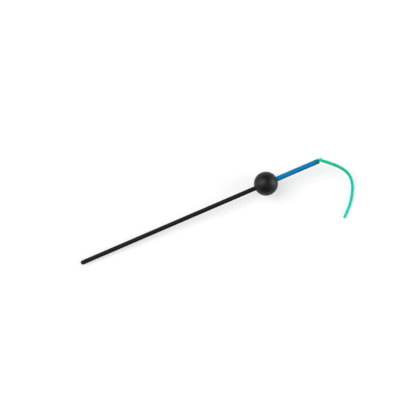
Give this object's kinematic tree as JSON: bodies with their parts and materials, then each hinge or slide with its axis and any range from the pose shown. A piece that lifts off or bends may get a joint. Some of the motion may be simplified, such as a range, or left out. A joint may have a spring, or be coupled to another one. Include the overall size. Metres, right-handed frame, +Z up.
{
  "type": "cable needle",
  "caption": "Straight knitting cable needle: domed shaft, sliding stopper ball, soft translucent sleeve and a soft cord knotted at the sleeve's mouth, trailing in a curl.",
  "frame": {"origin": "on the surface the needle lies on, under the middle of its length from the tip to the sleeve's mouth", "axes": "+X along the needle from its tip to the sleeve and cord, +Y to its left seen from above, +Z up"},
  "size_m": [0.188, 0.05, 0.016],
  "materials": {
    "shaft_black": "satin black, plain",
    "ball_black": "matte black moulded rubber",
    "sleeve_blue": "translucent soft blue tubing",
    "cord_green": "translucent soft green to turquoise cord"
  },
  "bodies": {
    "stopper": {"stopper_ball": "ball_black"},
    "shaft": {"needle_shaft": "shaft_black"},
    "sleeve_and_cord": {"soft_sleeve": "sleeve_blue", "cord_core": "cord_green", "cord_knot": "cord_green", "cord_tail": "cord_green"}
  },
  "joints": [
    {"name": "stopper_slide", "type": "slide", "parent": "stopper", "child": "shaft", "axis": [0.9988, 0, 0.0491], "range_m": [0, 0.12]},
    {"name": "sleeve_pull", "type": "slide", "parent": "shaft", "child": "sleeve_and_cord", "axis": [0.9988, 0, 0.0491], "range_m": [0, 0.012]}
  ]
}
